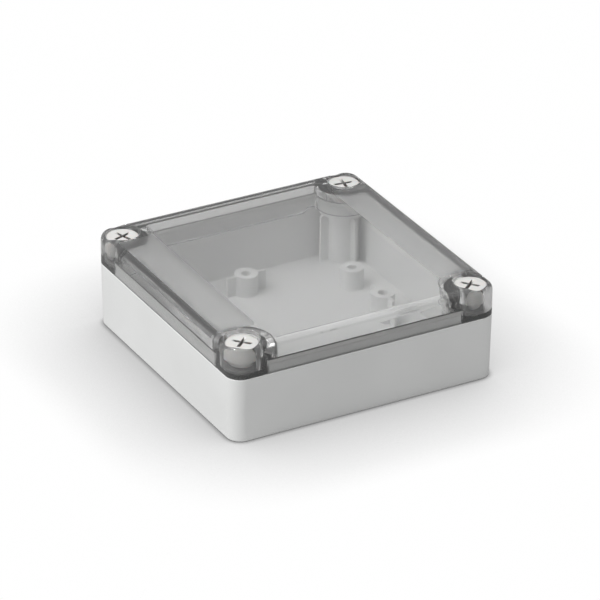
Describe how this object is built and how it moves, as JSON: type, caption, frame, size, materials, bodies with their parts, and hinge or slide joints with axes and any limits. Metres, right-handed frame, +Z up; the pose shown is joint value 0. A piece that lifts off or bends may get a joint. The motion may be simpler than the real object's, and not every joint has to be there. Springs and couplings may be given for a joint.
{
  "type": "electronics enclosure",
  "caption": "Square ABS enclosure with a clear lid held by captive corner screws, a lip and groove seal, and bosses for a circuit board on its floor.",
  "frame": {"origin": "centre of the base's underside", "axes": "+Z up through the lid, +X and +Y square to the side walls"},
  "size_m": [0.1, 0.1, 0.035],
  "materials": {
    "base_abs": "satin moulded",
    "lid_clear": "clear polished",
    "seal_rubber": "matt",
    "screw_plastic": "satin",
    "washer_rubber": "matt"
  },
  "bodies": {
    "base": {"base": "base_abs"},
    "lid": {"lid": "lid_clear", "lid_seal": "seal_rubber"},
    "washer_front_left": {"washer_front_left": "washer_rubber"},
    "screw_front_left": {"screw_front_left": "screw_plastic"},
    "washer_front_right": {"washer_front_right": "washer_rubber"},
    "screw_front_right": {"screw_front_right": "screw_plastic"},
    "washer_back_left": {"washer_back_left": "washer_rubber"},
    "screw_back_left": {"screw_back_left": "screw_plastic"},
    "washer_back_right": {"washer_back_right": "washer_rubber"},
    "screw_back_right": {"screw_back_right": "screw_plastic"}
  },
  "joints": [
    {"name": "lid_lift", "type": "slide", "parent": "base", "child": "lid", "axis": [0, 0, 1], "range_m": [0, 0.03]},
    {"name": "rise_front_left", "type": "slide", "parent": "lid", "child": "washer_front_left", "axis": [0, 0, 1], "range_m": [0, 0.006]},
    {"name": "turn_front_left", "type": "hinge", "parent": "washer_front_left", "child": "screw_front_left", "pos_m": [-0.043, -0.043, 0.0262], "axis": [0, 0, 1], "range_deg": [0, 1080]},
    {"name": "rise_front_right", "type": "slide", "parent": "lid", "child": "washer_front_right", "axis": [0, 0, 1], "range_m": [0, 0.006]},
    {"name": "turn_front_right", "type": "hinge", "parent": "washer_front_right", "child": "screw_front_right", "pos_m": [0.043, -0.043, 0.0262], "axis": [0, 0, 1], "range_deg": [0, 1080]},
    {"name": "rise_back_left", "type": "slide", "parent": "lid", "child": "washer_back_left", "axis": [0, 0, 1], "range_m": [0, 0.006]},
    {"name": "turn_back_left", "type": "hinge", "parent": "washer_back_left", "child": "screw_back_left", "pos_m": [-0.043, 0.043, 0.0262], "axis": [0, 0, 1], "range_deg": [0, 1080]},
    {"name": "rise_back_right", "type": "slide", "parent": "lid", "child": "washer_back_right", "axis": [0, 0, 1], "range_m": [0, 0.006]},
    {"name": "turn_back_right", "type": "hinge", "parent": "washer_back_right", "child": "screw_back_right", "pos_m": [0.043, 0.043, 0.0262], "axis": [0, 0, 1], "range_deg": [0, 1080]}
  ],
  "couplings": [
    {"joint": "turn_front_left", "follows": "rise_front_left", "rad_per_m": 3141.6},
    {"joint": "turn_front_right", "follows": "rise_front_right", "rad_per_m": 3141.6},
    {"joint": "turn_back_left", "follows": "rise_back_left", "rad_per_m": 3141.6},
    {"joint": "turn_back_right", "follows": "rise_back_right", "rad_per_m": 3141.6}
  ]
}
